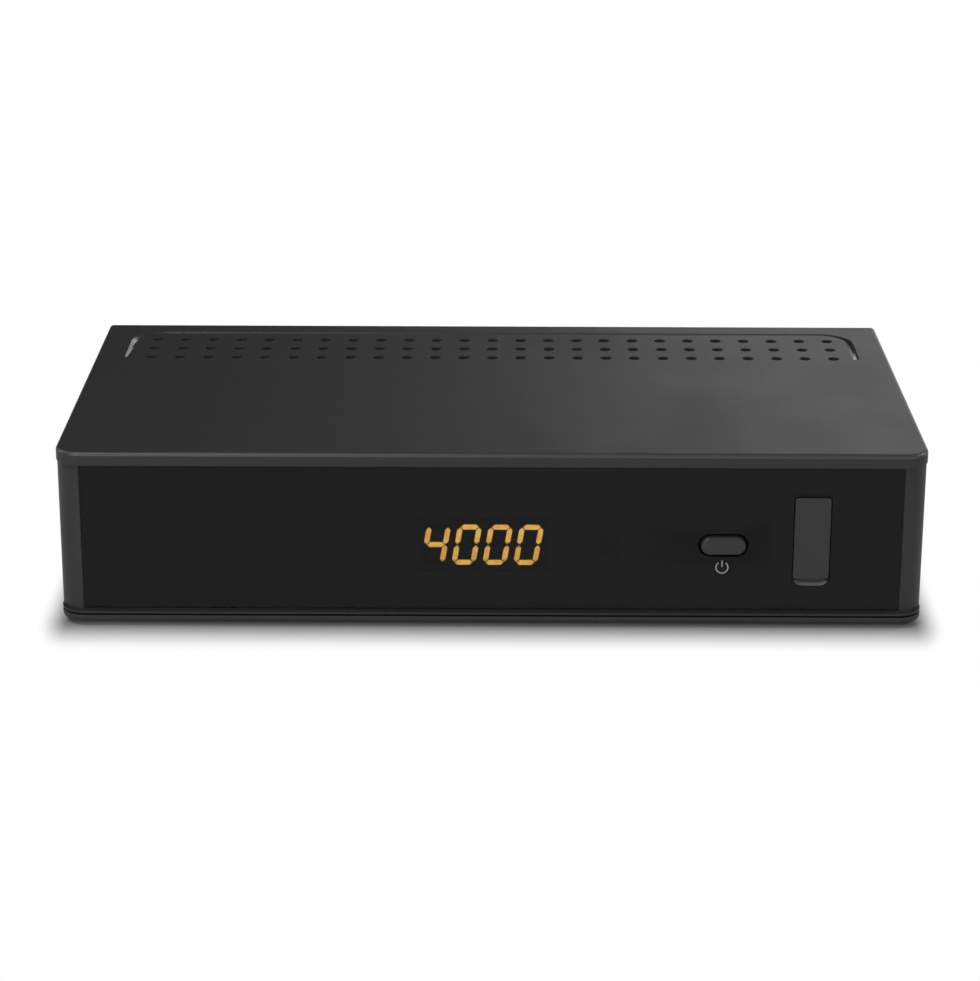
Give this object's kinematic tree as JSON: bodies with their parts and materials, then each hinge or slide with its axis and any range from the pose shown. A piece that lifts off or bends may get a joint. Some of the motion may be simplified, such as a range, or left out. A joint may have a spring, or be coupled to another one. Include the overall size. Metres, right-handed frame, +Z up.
{
  "type": "satellite television receiver",
  "caption": "Low charcoal set-top case with vented lid, gloss front window, standby button, hinged socket cover and a steel rear panel of aerial, video, audio, network and power sockets.",
  "frame": {"origin": "on the ground, in the middle of the box round the case and its rear ports", "axes": "+X across the front to the viewer's right, +Y from the front to the back, +Z up"},
  "size_m": [0.22, 0.126, 0.047],
  "materials": {
    "case_abs": "fine matt texture, charcoal",
    "window_acrylic": "polished smoked acrylic",
    "control_abs": "smooth satin, charcoal",
    "foot_rubber": "matt",
    "painted_steel": "fine powder coat, black",
    "zinc_steel": "zinc plated",
    "black_steel": "black zinc",
    "tinned_steel": "tinned sheet",
    "nickel_plate": "bright nickel",
    "gold_plate": "gold flash",
    "white_insulator": "smooth",
    "orange_insulator": "smooth",
    "black_moulding": "smooth",
    "board_laminate": "green solder mask",
    "chip_resin": "fine matt",
    "thermal_silicone": "soft matt",
    "finned_aluminium": "extruded, natural",
    "capacitor_sleeve": "shrunk sleeve",
    "display_resin": "black face",
    "lit_segment": "lit amber",
    "dark_segment": "unlit",
    "eye_resin": "infra-red resin",
    "cable_film": "flat cable film",
    "light_guide": "clear guide"
  },
  "bodies": {
    "receiver": {"top_cover": "case_abs", "base_tray": "case_abs", "front_fascia": "case_abs", "front_window": "window_acrylic", "rear_panel": "painted_steel", "rubber_feet": "foot_rubber", "case_screws": "black_steel", "tact_switch": "black_moulding", "flap_hinge_pin": "zinc_steel", "usb_shell": "nickel_plate", "usb_insert": "white_insulator", "front_board": "board_laminate", "front_board_screws": "zinc_steel", "display_body": "display_resin", "display_segments_lit": "lit_segment", "display_segments_dark": "dark_segment", "display_holder": "black_moulding", "remote_eye": "eye_resin", "front_header": "white_insulator", "ribbon_cable": "cable_film", "main_header": "white_insulator", "main_board": "board_laminate", "board_screws": "zinc_steel", "main_chip": "chip_resin", "thermal_pad": "thermal_silicone", "heat_sink": "finned_aluminium", "memory_chips": "chip_resin", "crystal_can": "nickel_plate", "capacitors": "capacitor_sleeve", "inductors": "chip_resin", "card_reader": "black_moulding", "card_reader_lid": "tinned_steel", "card_contacts": "gold_plate", "tuner_can": "tinned_steel", "tuner_lid": "tinned_steel", "lnb_in_port": "nickel_plate", "lnb_out_port": "nickel_plate", "port_insulators": "white_insulator", "port_washers": "zinc_steel", "port_nuts": "nickel_plate", "spdif_body": "orange_insulator", "spdif_sleeve": "nickel_plate", "spdif_insert": "orange_insulator", "ethernet_socket": "tinned_steel", "ethernet_lights": "light_guide", "ethernet_contacts": "gold_plate", "hdmi_shell": "nickel_plate", "hdmi_tongue": "black_moulding", "scart_socket": "black_moulding", "scart_screws": "zinc_steel", "dc_jack": "black_moulding", "dc_pin": "nickel_plate", "power_switch": "black_moulding", "switch_terminals": "tinned_steel"},
    "power_button": {"power_button": "control_abs"},
    "tact_plunger": {"tact_plunger": "white_insulator"},
    "usb_flap": {"usb_flap": "control_abs"},
    "power_rocker": {"power_rocker": "black_moulding"}
  },
  "joints": [
    {"name": "button_press", "type": "slide", "parent": "receiver", "child": "power_button", "axis": [0, 1, 0], "range_m": [0, 0.0005], "stiffness_N_per_m": 900, "springref_m": -0.0006},
    {"name": "key_press", "type": "slide", "parent": "receiver", "child": "tact_plunger", "axis": [0, 1, 0], "range_m": [0, 0.0005]},
    {"name": "flap_hinge", "type": "hinge", "parent": "receiver", "child": "usb_flap", "pos_m": [0.08115, -0.0594, 0.0329], "axis": [-1, 0, 0], "range_deg": [0, 90]},
    {"name": "rocker_tip", "type": "hinge", "parent": "receiver", "child": "power_rocker", "pos_m": [-0.088, 0.051, 0.023], "axis": [-1, 0, 0], "range_deg": [0, 22]}
  ],
  "couplings": [
    {"joint": "key_press", "follows": "button_press", "ratio": 1}
  ]
}
